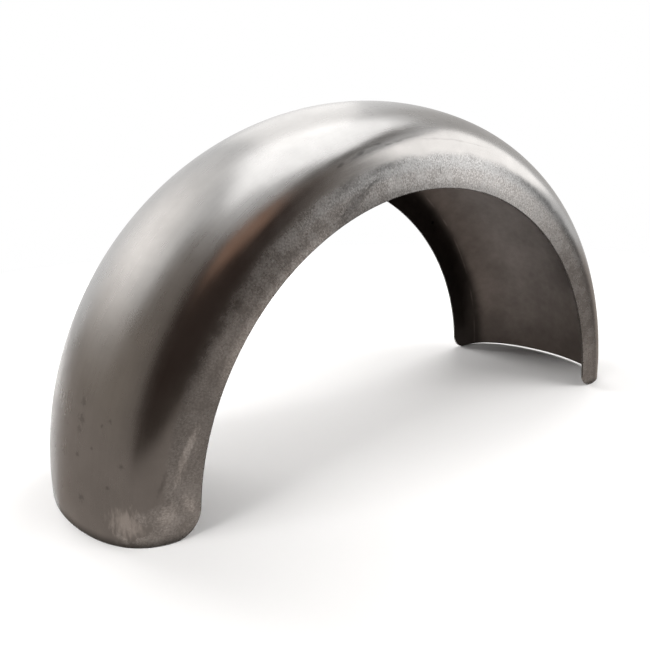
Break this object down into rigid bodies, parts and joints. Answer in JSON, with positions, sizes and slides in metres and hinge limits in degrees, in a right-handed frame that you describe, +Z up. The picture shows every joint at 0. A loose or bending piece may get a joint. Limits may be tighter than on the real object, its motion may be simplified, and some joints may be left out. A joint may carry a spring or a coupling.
{
  "type": "motorcycle rear fender",
  "caption": "Bare steel motorcycle rear fender: a half-round pressed arch with a crowned top, round shoulders and flat side walls with rounded end corners.",
  "frame": {"origin": "wheel centre at ground level: the middle of the bottom of the object's box", "axes": "+X along the fender from its front end to its rear end, Y along the wheel's axle, +Z up"},
  "size_m": [0.68, 0.215, 0.34],
  "materials": {
    "bare_steel": "raw, satin over the crown and ground along the side walls"
  },
  "bodies": {
    "root": {"fender_shell": "bare_steel"}
  },
  "joints": []
}
